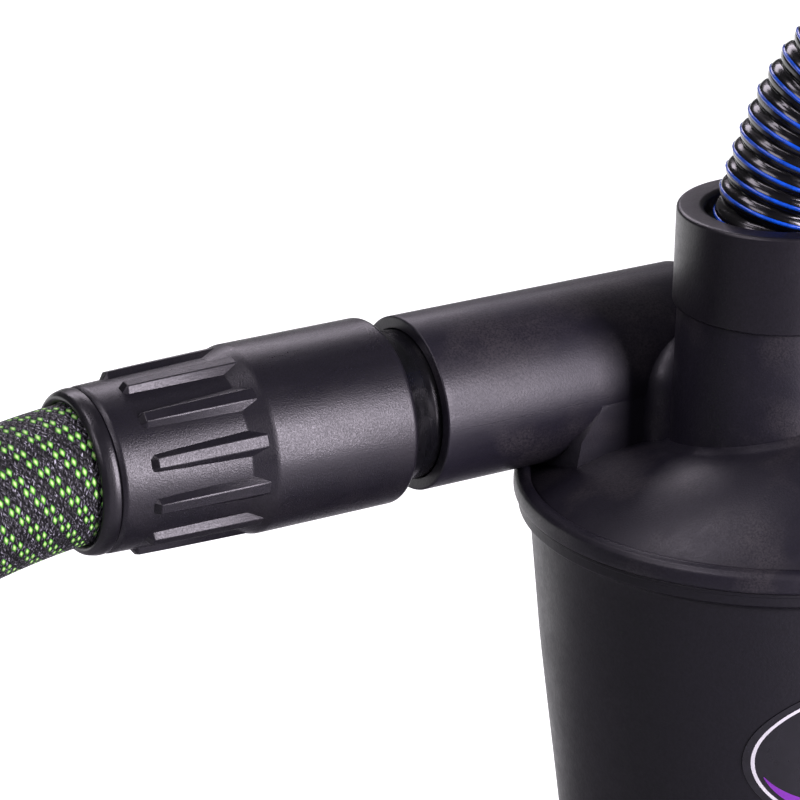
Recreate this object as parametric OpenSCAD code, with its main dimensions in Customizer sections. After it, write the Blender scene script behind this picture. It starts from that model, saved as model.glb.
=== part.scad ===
// Cyclone dust collector: a moulded cyclone head on a clamped collecting drum, with a
// swivelling suction-hose cuff on its tangential inlet and a ribbed vacuum hose on its outlet.
// Millimetres. Z = 0 is the floor under the drum, Z runs up the drum's axis, and the inlet
// pipe points along -X.

/* [Drum] */
// Outer radius of the drum wall
drum_r = 160; // [156:1:162]
// Height of the drum body, up to its bead
drum_h = 350; // [340:1:352]
// Wall thickness of the drum
drum_wall = 3; // [2:0.5:4]
// Radius of the bolt circle between cyclone and drum lid
bolt_circle_r = 65; // [63:0.5:67]

/* [Cyclone] */
// Height of the joint between cone body and top housing
rim_z = 615; // [612:1:618]
// Radius of the top housing's rim
rim_r = 86.3; // [86:0.1:88]
// Outer radius of the inlet pipe
inlet_r = 29.2; // [29:0.1:30]
// Inner radius of the inlet pipe
inlet_bore_r = 25; // [24:0.5:25.5]
// Distance of the inlet pipe's axis behind the cyclone's axis
inlet_y = 55; // [53:0.5:56]
// Distance of the inlet pipe's mouth from the cyclone's axis
inlet_mouth = 110.5; // [108:0.5:114]
// Height of the inlet pipe's axis over the rim joint
inlet_rise = 34.4; // [33:0.2:36]
// Outer radius of the outlet pipe at its foot
outlet_r = 34.8; // [34:0.2:35.5]
// Rise of the helical roof in one full turn
roof_pitch = 53.4; // [50:0.2:55]

/* [Hose cuff] */
// Outer radius of the smooth sleeve
sleeve_r = 31; // [30:0.2:32]
// Outer radius of the ribbed grip at its hose end
grip_r = 26.9; // [26.5:0.1:27.5]
// Number of grip ribs round the cuff
rib_count = 12; // [8:1:14]

/* [Hoses] */
// Diameter of the braided suction hose
suction_d = 45; // [43:0.5:46]
// Diameter of the ribbed vacuum hose
vacuum_d = 41; // [39:0.5:42]
// Radius of the middle of the suction hose's coil on the floor
coil_r = 247.5; // [245:0.5:250]

/* [Hidden] */
$fn = 96;

// Heights of the stack on the drum
bead_r = drum_r + 8;
bead_h = 8;
gasket_h = 2;
lid_z = drum_h + gasket_h;
lid_t = 4;
deck_z = lid_z + 10;
deck_r = 95;
outlet_hole_r = 48;
flange_gasket_h = 3;
flange_z = deck_z + flange_gasket_h;
flange_t = 6;
flange_r = 76;
bolt_count = 6;
bolt_r = 3;
inlet_z = rim_z + inlet_rise;
collar_z = rim_z + 67.3;
collar_top_z = rim_z + 100.1;
collar_r = 34.9;
collar_bore_r = 22.6;
collar_seat_z = rim_z + 78;
outlet_top_r = 32.9;
outlet_bore_r = 29;

// Ring with a square section
module ring(r_out, r_in, z_low, z_high) {
    translate([0, 0, z_low])
        difference() {
            cylinder(r = r_out, h = z_high - z_low);
            translate([0, 0, -1]) cylinder(r = r_in, h = z_high - z_low + 2);
        }
}

// Places its children round a circle on the cyclone's axis
module round_circle(count, radius) {
    for (i = [0 : count - 1])
        rotate([0, 0, i * 360 / count + 30]) translate([radius, 0, 0]) children();
}

// ---------------------------------------------------------------- drum

module drum_body() {
    hoop = 2.5;
    color([0.09, 0.09, 0.10])
        rotate_extrude($fn = 128)
            polygon([
                [0, 0], [drum_r - 6, 0], [drum_r, 6],
                [drum_r, 106], [drum_r + hoop, 109], [drum_r + hoop, 113], [drum_r, 116],
                [drum_r, 196], [drum_r + hoop, 199], [drum_r + hoop, 203], [drum_r, 206],
                [drum_r, drum_h - bead_h], [bead_r, drum_h - bead_h], [bead_r, drum_h],
                [drum_r - drum_wall, drum_h], [drum_r - drum_wall, 8],
                [drum_r - drum_wall - 4, 4], [0, 4]
            ]);
}

module lid_gasket() {
    color([0.05, 0.05, 0.05]) ring(bead_r - 1, drum_r - 1, drum_h, lid_z);
}

module drum_lid() {
    color([0.10, 0.10, 0.11])
        difference() {
            rotate_extrude($fn = 128)
                polygon([
                    [outlet_hole_r, deck_z - lid_t], [deck_r - 3, deck_z - lid_t],
                    [deck_r + 5, lid_z], [bead_r, lid_z], [bead_r, lid_z + lid_t],
                    [deck_r + 9, lid_z + lid_t], [deck_r, deck_z], [outlet_hole_r, deck_z]
                ]);
            round_circle(bolt_count, bolt_circle_r)
                translate([0, 0, lid_z]) cylinder(r = bolt_r + 0.2, h = 20);
        }
}

clamp_r = bead_r + 4.5;
clamp_low = drum_h - bead_h - 3;
clamp_high = lid_z + lid_t + 2;
clamp_gap = 26;
lug_t = 5;
clamp_bolt_y = -(clamp_r + 19);
clamp_bolt_z = (clamp_low + clamp_high) / 2;

// Lug on one end of the clamp ring, bored for the clamp bolt; side is -1 or 1
module clamp_lug(side) {
    x_low = side > 0 ? clamp_gap / 2 : -clamp_gap / 2 - lug_t;
    translate([x_low, clamp_bolt_y - 9, clamp_low])
        cube([lug_t, 30, clamp_high - clamp_low]);
}

module clamp_ring() {
    color([0.62, 0.63, 0.65])
        difference() {
            union() {
                difference() {
                    rotate_extrude($fn = 128)
                        polygon([
                            [drum_r + 2, clamp_low], [clamp_r, clamp_low], [clamp_r, clamp_high],
                            [drum_r + 2, clamp_high], [drum_r + 2, clamp_high - 2],
                            [bead_r + 0.5, clamp_high - 2], [bead_r + 0.5, clamp_low + 3],
                            [drum_r + 2, clamp_low + 3]
                        ]);
                    translate([-clamp_gap / 2, -clamp_r - 10, clamp_low - 1])
                        cube([clamp_gap, 40, clamp_high - clamp_low + 2]);
                }
                clamp_lug(-1);
                clamp_lug(1);
            }
            translate([-clamp_gap, clamp_bolt_y, clamp_bolt_z])
                rotate([0, 90, 0]) cylinder(r = 4.2, h = 2 * clamp_gap);
        }
}

bolt_head_t = 5;
clamp_bolt_end = 46;

module clamp_bolt() {
    color([0.70, 0.71, 0.73])
        translate([-clamp_gap / 2 - lug_t, clamp_bolt_y, clamp_bolt_z]) rotate([0, 90, 0]) {
            translate([0, 0, -bolt_head_t]) cylinder(r = 7.5, h = bolt_head_t, $fn = 6);
            cylinder(r = 4, h = clamp_gap / 2 + lug_t + clamp_bolt_end);
        }
}

module wing_nut() {
    nut_h = 11;
    color([0.70, 0.71, 0.73])
        translate([clamp_gap / 2 + lug_t + 0.3, clamp_bolt_y, clamp_bolt_z]) rotate([0, 90, 0])
            difference() {
                union() {
                    cylinder(r1 = 8, r2 = 6.5, h = nut_h);
                    for (side = [-1, 1])
                        translate([side * 11.5, 0, 10]) rotate([90, 0, 0])
                            translate([0, 0, -1.5]) cylinder(r = 5.5, h = 3);
                }
                translate([0, 0, -1]) cylinder(r = 4.05, h = nut_h + 12);
            }
}

// Handles hang on both sides of the drum
handle_z = 300;
handle_x = drum_r + 12;
handle_half = 50;
handle_drop = 62;
wire_r = 3;
grip_bar_r = 9;

module handle_bracket_pair() {
    for (side = [-1, 1])
        difference() {
            translate([drum_r - 16, side * (handle_half + 9) - 5, handle_z - 9])
                cube([handle_x - drum_r + 23, 10, 18]);
            translate([0, 0, handle_z - 20]) cylinder(r = drum_r, h = 40, $fn = 128);
            translate([handle_x, side * (handle_half + 9) - 8, handle_z])
                rotate([-90, 0, 0]) cylinder(r = wire_r + 0.05, h = 16);
        }
}

module handle_brackets() {
    color([0.62, 0.63, 0.65]) {
        handle_bracket_pair();
        mirror([1, 0, 0]) handle_bracket_pair();
    }
}

// Bent wire of one handle, on the +X side
module handle_wire() {
    bend = 10;
    color([0.66, 0.67, 0.69])
        translate([handle_x, 0, handle_z]) {
            for (side = [-1, 1]) {
                translate([0, side * handle_half, 0]) sphere(r = wire_r);
                translate([0, side > 0 ? handle_half : -handle_half - 13, 0])
                    rotate([-90, 0, 0]) cylinder(r = wire_r, h = 13);
                translate([0, side * handle_half, -handle_drop])
                    cylinder(r = wire_r, h = handle_drop);
                translate([0, side * handle_half, -handle_drop]) sphere(r = wire_r);
            }
            translate([0, -handle_half, -handle_drop])
                rotate([-90, 0, 0]) cylinder(r = wire_r, h = 2 * handle_half);
        }
}

module handle_grip() {
    color([0.05, 0.05, 0.06])
        translate([handle_x, -handle_half + 8, handle_z - handle_drop]) rotate([-90, 0, 0])
            difference() {
                cylinder(r = grip_bar_r, h = 2 * handle_half - 16);
                translate([0, 0, -1]) cylinder(r = wire_r, h = 2 * handle_half);
            }
}

module handle_wire_right() { handle_wire(); }
module handle_grip_right() { handle_grip(); }
module handle_wire_left() { mirror([1, 0, 0]) handle_wire(); }
module handle_grip_left() { mirror([1, 0, 0]) handle_grip(); }

// ---------------------------------------------------------------- cyclone body

module flange_gasket() {
    color([0.05, 0.05, 0.05])
        difference() {
            ring(flange_r - 1, outlet_hole_r, deck_z, flange_z);
            round_circle(bolt_count, bolt_circle_r)
                translate([0, 0, deck_z - 1]) cylinder(r = bolt_r + 0.2, h = 10);
        }
}

washer_t = 1.6;
washer_r = 7;
flange_top = flange_z + flange_t;
lid_under = deck_z - lid_t;

module flange_bolts() {
    color([0.72, 0.73, 0.75])
        round_circle(bolt_count, bolt_circle_r) {
            translate([0, 0, flange_top + washer_t]) cylinder(r = 5.8, h = 4, $fn = 6);
            translate([0, 0, lid_under - 10]) cylinder(r = bolt_r, h = flange_top - lid_under + 13);
        }
}

module flange_washers() {
    color([0.72, 0.73, 0.75])
        round_circle(bolt_count, bolt_circle_r)
            ring(washer_r, bolt_r, flange_top, flange_top + washer_t);
}

module flange_nuts() {
    color([0.72, 0.73, 0.75])
        round_circle(bolt_count, bolt_circle_r)
            difference() {
                translate([0, 0, lid_under - 5]) cylinder(r = 5.8, h = 5, $fn = 6);
                translate([0, 0, lid_under - 6]) cylinder(r = bolt_r, h = 7);
            }
}

body_wall = 3;
band_r = 84.6;

module cone_body() {
    color([0.09, 0.09, 0.10])
        difference() {
            rotate_extrude($fn = 160)
                polygon([
                    [outlet_hole_r, flange_z], [flange_r, flange_z], [flange_r, flange_top],
                    [56, flange_top], [52.5, flange_top + 4], [52.5, flange_top + 9],
                    [61, rim_z - 175], [68.9, rim_z - 118.5], [73.9, rim_z - 76.8],
                    [76.9, rim_z - 49.5], [79, rim_z - 25], [80.6, rim_z - 9],
                    [81.4, rim_z - 5.5], [band_r - 0.6, rim_z - 5], [band_r, rim_z - 4.4],
                    [band_r, rim_z - 1.4], [rim_r - 1.4, rim_z - 1.4], [rim_r - 1.4, rim_z],
                    [77.6, rim_z], [77.6, rim_z - 5], [76, rim_z - 25],
                    [73.9, rim_z - 49.5], [70.9, rim_z - 76.8], [65.9, rim_z - 118.5],
                    [58, rim_z - 175], [outlet_hole_r + 1.5, flange_top + 9], [outlet_hole_r, flange_z + 5]
                ]);
            round_circle(bolt_count, bolt_circle_r)
                translate([0, 0, flange_z - 1]) cylinder(r = bolt_r + 0.2, h = flange_t + 2);
            ring(82, 80, rim_z - 1, rim_z + 1);
        }
}

module body_seal() {
    color([0.04, 0.04, 0.04]) ring(82, 80, rim_z - 1, rim_z);
}

// ---------------------------------------------------------------- top housing

roof_start = 122;
roof_turn = 356;
roof_low = 13;
roof_steps = 48;
roof_inner_r = 33;
roof_outer_r = 80.6;
roof_t = 3;
roof_end_wall = 3;
shares = [0, 0.15, 0.32, 0.5, 0.66, 0.8, 0.92, 1];

// Height of the roof over the rim joint, beside the outlet pipe, at a turning angle
function roof_height(angle) = roof_low + (angle - roof_start) * roof_pitch / 360;
// Height of the roof a share (0..1) of the way out to the rim
function roof_at(angle, share) =
    4.6 + (roof_height(angle) - 4.6)
        * pow(1 - pow(share, 1.5 + (angle - roof_start) / roof_turn * 1.3), 0.9);

// Solid under the helical roof: its skin drawn in by inset, its ends by end_wall degrees
module roof_solid(inset, end_wall, floor_z) {
    row = len(shares) + 2;
    r_low = roof_inner_r + inset;
    r_high = roof_outer_r - inset;
    points = [
        for (i = [0 : roof_steps])
            let (angle = roof_start + end_wall + i * (roof_turn - 2 * end_wall) / roof_steps)
                each concat(
                    [for (s = shares)
                        let (r = r_low + s * (r_high - r_low))
                            [r * cos(angle), r * sin(angle), rim_z + roof_at(angle, s) - inset]],
                    [[r_high * cos(angle), r_high * sin(angle), rim_z + floor_z],
                     [r_low * cos(angle), r_low * sin(angle), rim_z + floor_z]]
                )
    ];
    walls = [
        for (i = [0 : roof_steps - 1], j = [0 : row - 1])
            let (a = i * row + j, b = i * row + (j + 1) % row, c = a + row, d = b + row)
                each [[a, d, b], [a, c, d]]
    ];
    low_end = [for (j = [0 : row - 1]) j];
    high_end = [for (j = [row - 1 : -1 : 0]) roof_steps * row + j];
    polyhedron(points = points, faces = concat(walls, [low_end, high_end]), convexity = 6);
}

// Straight inlet pipe, from its mouth to past the cyclone's axis
module inlet_cylinder(radius, past) {
    translate([-inlet_mouth, inlet_y, inlet_z])
        rotate([0, 90, 0]) cylinder(r = radius, h = inlet_mouth + past);
}

// Upright wall between the inlet pipe and the low end of the roof
module step_block() {
    near_y = inlet_y - inlet_r + 0.4;
    translate([0, 0, rim_z + 1.5])
        linear_extrude(inlet_rise + 2)
            polygon([
                [-49.3, near_y], [-43, near_y], [-39, near_y - 2], [-36.5, near_y - 6],
                [-34.5, near_y - 12], [-28, near_y - 14], [-14, near_y], [-22, 76], [-40, 69.5],
                [-58, 54], [-60, near_y + 8]
            ]);
}

module top_housing() {
    color([0.10, 0.10, 0.11])
        difference() {
            union() {
                rotate_extrude($fn = 160)
                    polygon([
                        [77.6, rim_z], [rim_r - 0.9, rim_z], [rim_r, rim_z + 1.5], [rim_r, rim_z + 4],
                        [rim_r - 0.8, rim_z + 6.2], [rim_r - 2.4, rim_z + 7.3], [rim_r - 4.2, rim_z + 7.5],
                        [rim_r - 5.4, rim_z + 6.6], [rim_r - 5.8, rim_z + 4.6], [77.6, rim_z + 4.6]
                    ]);
                inlet_cylinder(inlet_r, 0);
                step_block();
                translate([0, 0, rim_z + 10])
                    cylinder(r1 = outlet_r, r2 = outlet_top_r, h = 68);
            }
            inlet_cylinder(inlet_bore_r, -10);
            translate([0, 0, rim_z]) cylinder(r = outlet_bore_r, h = 90);
        }
}

module helical_roof() {
    color([0.10, 0.10, 0.11])
        difference() {
            roof_solid(0, 0, 0.6);
            roof_solid(roof_t, roof_end_wall, -1);
            inlet_cylinder(inlet_bore_r, -10);
        }
}

module vortex_finder() {
    color([0.12, 0.12, 0.13])
        ring(outlet_bore_r, outlet_bore_r - 2.5, rim_z - 70, rim_z + 62);
}

module outlet_collar() {
    color([0.08, 0.08, 0.09])
        rotate_extrude($fn = 128)
            polygon([
                [outlet_top_r + 0.35, collar_z], [collar_r, collar_z], [collar_r - 0.5, collar_top_z - 3],
                [collar_r - 1.2, collar_top_z - 1], [collar_r - 2.8, collar_top_z],
                [collar_bore_r + 2.5, collar_top_z], [collar_bore_r, collar_top_z - 2.5],
                [collar_bore_r, collar_seat_z], [outlet_top_r + 0.05, collar_seat_z]
            ]);
}

seal_low = rim_z + 84;
seal_high = rim_z + 92;

module hose_seal() {
    color([0.04, 0.04, 0.04]) ring(collar_bore_r, vacuum_d / 2 + 0.1, seal_low, seal_high);
}

// Oval rating-style sticker on the front of the cone
label_turn = 266;
label_z = rim_z - 62;

module label_plate() {
    half_w = 52;
    half_h = 30;
    color([0.05, 0.05, 0.06])
        intersection() {
            rotate([0, 0, label_turn]) translate([60, 0, label_z]) rotate([0, 90, 0]) rotate([0, 0, 90])
                linear_extrude(40)
                    polygon([for (i = [0 : 47]) [half_w * cos(i * 7.5) * 0.88, half_h * sin(i * 7.5)]]);
            rotate_extrude($fn = 160)
                polygon([
                    [68.9, rim_z - 118.5], [73.9, rim_z - 76.8], [76.9, rim_z - 49.5], [79, rim_z - 25],
                    [79.4, rim_z - 25], [77.3, rim_z - 49.5], [74.3, rim_z - 76.8], [69.3, rim_z - 118.5]
                ]);
        }
}

// ---------------------------------------------------------------- suction-hose cuff

// Revolves a profile of [distance past the inlet mouth, radius] points about the inlet axis
module cuff_turned(profile) {
    translate([-inlet_mouth, inlet_y, inlet_z]) rotate([0, -90, 0])
        rotate_extrude($fn = 96) polygon([for (p = profile) [p[1], p[0]]]);
}

fit = 0.1;
suction_r = suction_d / 2;
sleeve_start = 11.9;
sleeve_end = 64;
seam = 115.5;

module inlet_seal() {
    color([0.04, 0.04, 0.04])
        cuff_turned([
            [-12, inlet_bore_r - 2], [-8, inlet_bore_r - 2], [-8, inlet_bore_r - 0.05],
            [-12, inlet_bore_r - 0.05]
        ]);
}

module cuff_spigot() {
    spigot_r = inlet_bore_r - fit;
    color([0.03, 0.03, 0.035])
        cuff_turned([
            [-32, 21.6], [-32, spigot_r - 0.8], [-12.3, spigot_r], [-12.3, inlet_bore_r - 2],
            [-7.7, inlet_bore_r - 2], [-7.7, spigot_r], [2, spigot_r], [5, spigot_r + 0.2],
            [9, spigot_r + 1], [sleeve_start + 1, spigot_r + 2.3], [sleeve_start + 1, sleeve_r - 3.4],
            [30, sleeve_r - 3.4], [30, 21.6]
        ]);
}

module cuff_sleeve() {
    color([0.10, 0.10, 0.11])
        cuff_turned([
            [sleeve_start + 1, sleeve_r - 3.4], [sleeve_start, sleeve_r - 3], [sleeve_start + 0.3, sleeve_r - 1.4],
            [sleeve_start + 1.2, sleeve_r - 0.4], [sleeve_start + 2.6, sleeve_r], [sleeve_end, sleeve_r],
            [sleeve_end + 5, sleeve_r - 1.4], [sleeve_end + 8, sleeve_r - 2.8], [sleeve_end + 8, sleeve_r - 5.2],
            [36, sleeve_r - 5.2], [30, sleeve_r - 3.4]
        ]);
}

// Tapered grip rib, long side along the cuff
module grip_rib() {
    rib_low = sleeve_end + 8;
    rib_high = 108;
    translate([-inlet_mouth, inlet_y, inlet_z]) rotate([0, -90, 0])
        translate([0, 0, rib_low])
            rotate([90, 0, 90])
                translate([0, 0, grip_r - 1.4])
                    linear_extrude(3.6)
                        polygon([[-5, 0], [5, 0], [3.2, rib_high - rib_low - 3], [2, rib_high - rib_low],
                                 [-2, rib_high - rib_low], [-3.2, rib_high - rib_low - 3]]);
}

module cuff_grip() {
    color([0.11, 0.11, 0.12]) {
        cuff_turned([
            [sleeve_end + 8, sleeve_r - 5.2], [sleeve_end + 8, sleeve_r - 2.8], [seam - 2, grip_r],
            [seam - 0.2, grip_r - 0.5], [seam - 0.2, suction_r + 2.35], [sleeve_end + 8, suction_r + 2.35]
        ]);
        for (i = [0 : rib_count - 1])
            translate([0, inlet_y, inlet_z]) rotate([i * 360 / rib_count + 8, 0, 0])
                translate([0, -inlet_y, -inlet_z]) grip_rib();
    }
}

module cuff_end_ring() {
    color([0.07, 0.07, 0.08])
        cuff_turned([
            [seam + 0.2, suction_r + 2.3], [seam + 0.2, grip_r - 0.6], [seam + 1.4, grip_r],
            [seam + 8, grip_r - 0.7], [seam + 12, grip_r - 2.2], [seam + 12.6, grip_r - 3],
            [seam + 12.2, suction_r + 0.6], [seam + 9, suction_r + 0.2], [seam + 4, suction_r + 0.2],
            [seam + 4, suction_r + 2.3]
        ]);
}

module hose_bush() {
    color([0.06, 0.06, 0.07])
        cuff_turned([
            [sleeve_end + 14, suction_r + 0.05], [sleeve_end + 14, suction_r + 2.3],
            [seam + 4, suction_r + 2.3], [seam + 4, suction_r + 0.05]
        ]);
}

// ---------------------------------------------------------------- hoses

function unit(v) = v / norm(v);
// Tangent of a route at one of its points
function tangent(route, i) =
    unit(route[min(i + 1, len(route) - 1)] - route[max(i - 1, 0)]);
// Side directions carried along a route without twist
function side_dirs(route, i = 0, side = [0, 1, 0], done = []) =
    i == len(route) ? done :
    let (t = tangent(route, i), s = unit(side - (side * t) * t))
        side_dirs(route, i + 1, s, concat(done, [s]));

// Tube along a route, as one closed surface
module hose_tube(route, diameter, corners = 12) {
    sides = side_dirs(route);
    points = [
        for (i = [0 : len(route) - 1], k = [0 : corners - 1])
            let (t = tangent(route, i), s = sides[i], u = cross(t, s), a = k * 360 / corners)
                route[i] + diameter / 2 * (cos(a) * s + sin(a) * u)
    ];
    last = (len(route) - 1) * corners;
    walls = [
        for (i = [0 : len(route) - 2], k = [0 : corners - 1])
            let (a = i * corners + k, b = i * corners + (k + 1) % corners)
                each [[a, a + corners, b + corners], [a, b + corners, b]]
    ];
    near_end = [for (k = [0 : corners - 1]) k];
    far_end = [for (k = [corners - 1 : -1 : 0]) last + k];
    polyhedron(points = points, faces = concat(walls, [near_end, far_end]), convexity = 8);
}

// Suction hose: out of the cuff, down to the floor on the left and round to its coil
suction_route = [
    [-216, 55, 649.4], [-238, 55, 649.2], [-262, 55, 646], [-290, 55, 639], [-328, 55, 621],
    [-365, 55, 591], [-394, 55, 552], [-412, 55, 505], [-418, 55, 450], [-420, 54, 380],
    [-420, 51, 310], [-420, 43, 240], [-420, 22, 160], [-418, -18, 92], [-412, -76, 44],
    [-396, -140, 24], [-366, -196, 22.5], [-318, -242, 22.5], [-262, -270, 22.5],
    [-196, -284, 22.5], [-124, -286, 22.5], [-50, -278, 22.5], [20, -262, 22.5],
    [80, -236, 22.5], [124, -214, 22.5]
];

module suction_hose() {
    color([0.25, 0.55, 0.15]) hose_tube(suction_route, suction_d);
}

coil_second_start = 250;
coil_second_turn = 148.6;

module suction_coil() {
    inner = coil_r - suction_r;
    color([0.25, 0.55, 0.15]) {
        rotate_extrude($fn = 96)
            translate([inner, 0]) square([suction_d, suction_d]);
        rotate([0, 0, coil_second_start]) rotate_extrude(angle = coil_second_turn, $fn = 96)
            translate([inner, suction_d]) square([suction_d, suction_d]);
    }
}

// Vacuum hose: up out of the outlet, over in an arch and down to the floor on the right
arch_turn = -30;
arch = [
    [-2, 86], [-2, 92], [-1, 100], [4, 117], [11, 134], [21, 149], [36, 166], [54, 181], [78, 193],
    [104, 201], [131, 203], [166, 198], [199, 186], [229, 167], [255, 142], [275, 113], [288, 80],
    [295, 33], [296, -40], [296, -120], [296, -200], [296, -280], [296, -340]
];
floor_run = [
    [257, -146, 215], [262, -137, 160], [272, -120, 112], [287, -93, 72], [302, -52, 43],
    [312, -6, 27], [315, 42, 22], [308, 92, 22], [291, 140, 25], [264, 184, 29], [246, 206, 29]
];
vacuum_route = concat(
    [for (p = arch) [p[0] * cos(arch_turn), p[0] * sin(arch_turn), rim_z + p[1]]],
    floor_run
);

module vacuum_hose() {
    color([0.04, 0.04, 0.05]) hose_tube(vacuum_route, vacuum_d);
}

// Cuff on a free hose end, its axis along local X, away from the hose
module end_turned(profile) {
    rotate([0, 90, 0]) rotate_extrude($fn = 72) polygon([for (p = profile) [p[1], p[0]]]);
}

// Outer shell of an end cuff, free to turn on the bush
module end_shell(hose_r, mouth_r) {
    end_turned([
        [4.2, hose_r + 2.35], [4.2, 28.6], [8, 29], [44, 29], [47, 27.5], [50, 27], [96, 26.4],
        [96, mouth_r], [50, mouth_r], [48, hose_r - 1.5], [44, hose_r - 1.5], [42, hose_r + 2.35]
    ]);
}

// Retaining ring, clipped on the bush
module end_ring(hose_r) {
    end_turned([
        [-6, hose_r + 0.1], [-6, 26], [-4, 28], [3.8, 28.6], [3.8, hose_r + 2.3], [-2, hose_r + 2.3], [-2, hose_r + 0.1]
    ]);
}

module end_bush(hose_r) {
    end_turned([[-2, hose_r], [-2, hose_r + 2.3], [36, hose_r + 2.3], [36, hose_r]]);
}

tool_turn = 40;
tool_z = suction_d + 29.2;

// Puts an end cuff at the end of the suction hose, lying on the coil
module at_tool_end() {
    rotate([0, 0, tool_turn]) translate([coil_r, 0, tool_z]) rotate([0, 0, 90]) children();
}

module tool_cuff() {
    color([0.09, 0.09, 0.10]) at_tool_end() end_shell(suction_r, 18);
}

module tool_cuff_ring() {
    color([0.07, 0.07, 0.08]) at_tool_end() end_ring(suction_r);
}

module tool_cuff_bush() {
    color([0.06, 0.06, 0.07]) at_tool_end() end_bush(suction_r);
}

// Puts an end cuff at the end of the vacuum hose, lying on the floor
module at_vacuum_end() {
    translate([246, 206, 29]) rotate([0, 0, 131]) children();
}

module vacuum_cuff() {
    color([0.09, 0.09, 0.10]) at_vacuum_end() end_shell(vacuum_d / 2, 18);
}

module vacuum_cuff_ring() {
    color([0.07, 0.07, 0.08]) at_vacuum_end() end_ring(vacuum_d / 2);
}

module vacuum_cuff_bush() {
    color([0.06, 0.06, 0.07]) at_vacuum_end() end_bush(vacuum_d / 2);
}

drum_body();
drum_lid();
lid_gasket();
clamp_ring();
clamp_bolt();
wing_nut();
handle_brackets();
handle_wire_left();
handle_grip_left();
handle_wire_right();
handle_grip_right();
flange_gasket();
flange_bolts();
flange_washers();
flange_nuts();
cone_body();
body_seal();
top_housing();
helical_roof();
vortex_finder();
outlet_collar();
hose_seal();
inlet_seal();
label_plate();
cuff_spigot();
cuff_sleeve();
cuff_grip();
cuff_end_ring();
hose_bush();
suction_hose();
suction_coil();
tool_cuff();
tool_cuff_ring();
tool_cuff_bush();
vacuum_hose();
vacuum_cuff();
vacuum_cuff_ring();
vacuum_cuff_bush();
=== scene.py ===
"""Looks of the cyclone dust collector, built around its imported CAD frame."""
import math

import bmesh
import bpy
import numpy as np
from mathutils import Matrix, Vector


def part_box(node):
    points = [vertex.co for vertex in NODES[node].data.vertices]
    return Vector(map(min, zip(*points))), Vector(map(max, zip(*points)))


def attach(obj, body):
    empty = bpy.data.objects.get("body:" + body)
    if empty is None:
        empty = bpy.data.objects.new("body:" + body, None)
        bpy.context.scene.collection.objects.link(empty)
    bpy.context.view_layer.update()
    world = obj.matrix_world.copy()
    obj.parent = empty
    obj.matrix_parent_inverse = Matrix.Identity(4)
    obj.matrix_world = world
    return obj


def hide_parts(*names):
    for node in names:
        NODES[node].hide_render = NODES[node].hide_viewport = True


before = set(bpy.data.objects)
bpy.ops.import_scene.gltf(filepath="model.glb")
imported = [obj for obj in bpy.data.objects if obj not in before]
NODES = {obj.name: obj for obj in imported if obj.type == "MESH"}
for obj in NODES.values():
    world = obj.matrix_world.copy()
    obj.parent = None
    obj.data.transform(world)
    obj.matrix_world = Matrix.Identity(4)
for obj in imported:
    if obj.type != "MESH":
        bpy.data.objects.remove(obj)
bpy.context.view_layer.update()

# ------------------------------------------------------------------ places taken from the frame

MM = 0.001
rim_low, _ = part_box("top_housing")
RIM_Z = rim_low.z  # joint between cone body and top housing
MOUTH_X = rim_low.x  # mouth of the inlet pipe
spigot_low, spigot_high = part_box("cuff_spigot")
INLET_Y = (spigot_low.y + spigot_high.y) / 2
INLET_Z = (spigot_low.z + spigot_high.z) / 2
PIPE_R = 29.2  # outside of the inlet pipe, in millimetres
collar_low, collar_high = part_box("outlet_collar")
BASE = "collector"  # body that most pieces ride on

# ------------------------------------------------------------------ camera

CAMERA_PLACE = Vector((-0.65454, -0.87275, INLET_Z + 0.41985))
CAMERA_YAW = math.radians(30.33)  # turned from +Y towards +X
CAMERA_PITCH = math.radians(21.27)  # below the horizon
CAMERA_LENS = 157.8  # millimetres
SENSOR_WIDTH = 36
CLIP_NEAR, CLIP_FAR = 0.05, 50


def make_camera():
    """Camera at the viewing angle, looking slightly down on the inlet side."""
    data = bpy.data.cameras.new("camera")
    data.lens = CAMERA_LENS
    data.sensor_width = SENSOR_WIDTH
    data.clip_start = CLIP_NEAR
    data.clip_end = CLIP_FAR
    camera = bpy.data.objects.new("camera", data)
    camera.location = CAMERA_PLACE
    camera.rotation_euler = (math.pi / 2 - CAMERA_PITCH, 0, -CAMERA_YAW)
    bpy.context.scene.collection.objects.link(camera)
    bpy.context.scene.camera = camera


make_camera()

# ------------------------------------------------------------------ mesh helpers

CORNER_STEPS = 4  # spans in each rounded corner of a profile
CORNER_SHARE = 0.45  # most of an edge that one corner may take


def link(obj):
    """Put an object in the scene."""
    bpy.context.scene.collection.objects.link(obj)
    return obj


def mesh_piece(name, points, faces, smooth=True, sharp_deg=35):
    """Mesh object from points and faces, shaded smooth except at edges sharper than sharp_deg."""
    data = bpy.data.meshes.new(name)
    data.from_pydata([tuple(p) for p in points], [], [tuple(f) for f in faces])
    data.validate()
    obj = link(bpy.data.objects.new(name, data))
    work = bmesh.new()
    work.from_mesh(data)
    bmesh.ops.recalc_face_normals(work, faces=work.faces)
    work.to_mesh(data)
    work.free()
    if smooth:
        data.polygons.foreach_set("use_smooth", [True] * len(data.polygons))
        data.set_sharp_from_angle(angle=math.radians(sharp_deg))
    return obj


def grid_faces(rows, columns, closed_columns=True):
    """Quads of a grid of rows x columns points."""
    faces = []
    for i in range(rows - 1):
        for j in range(columns if closed_columns else columns - 1):
            k = (j + 1) % columns
            faces.append((i * columns + j, i * columns + k, (i + 1) * columns + k, (i + 1) * columns + j))
    return faces


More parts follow.
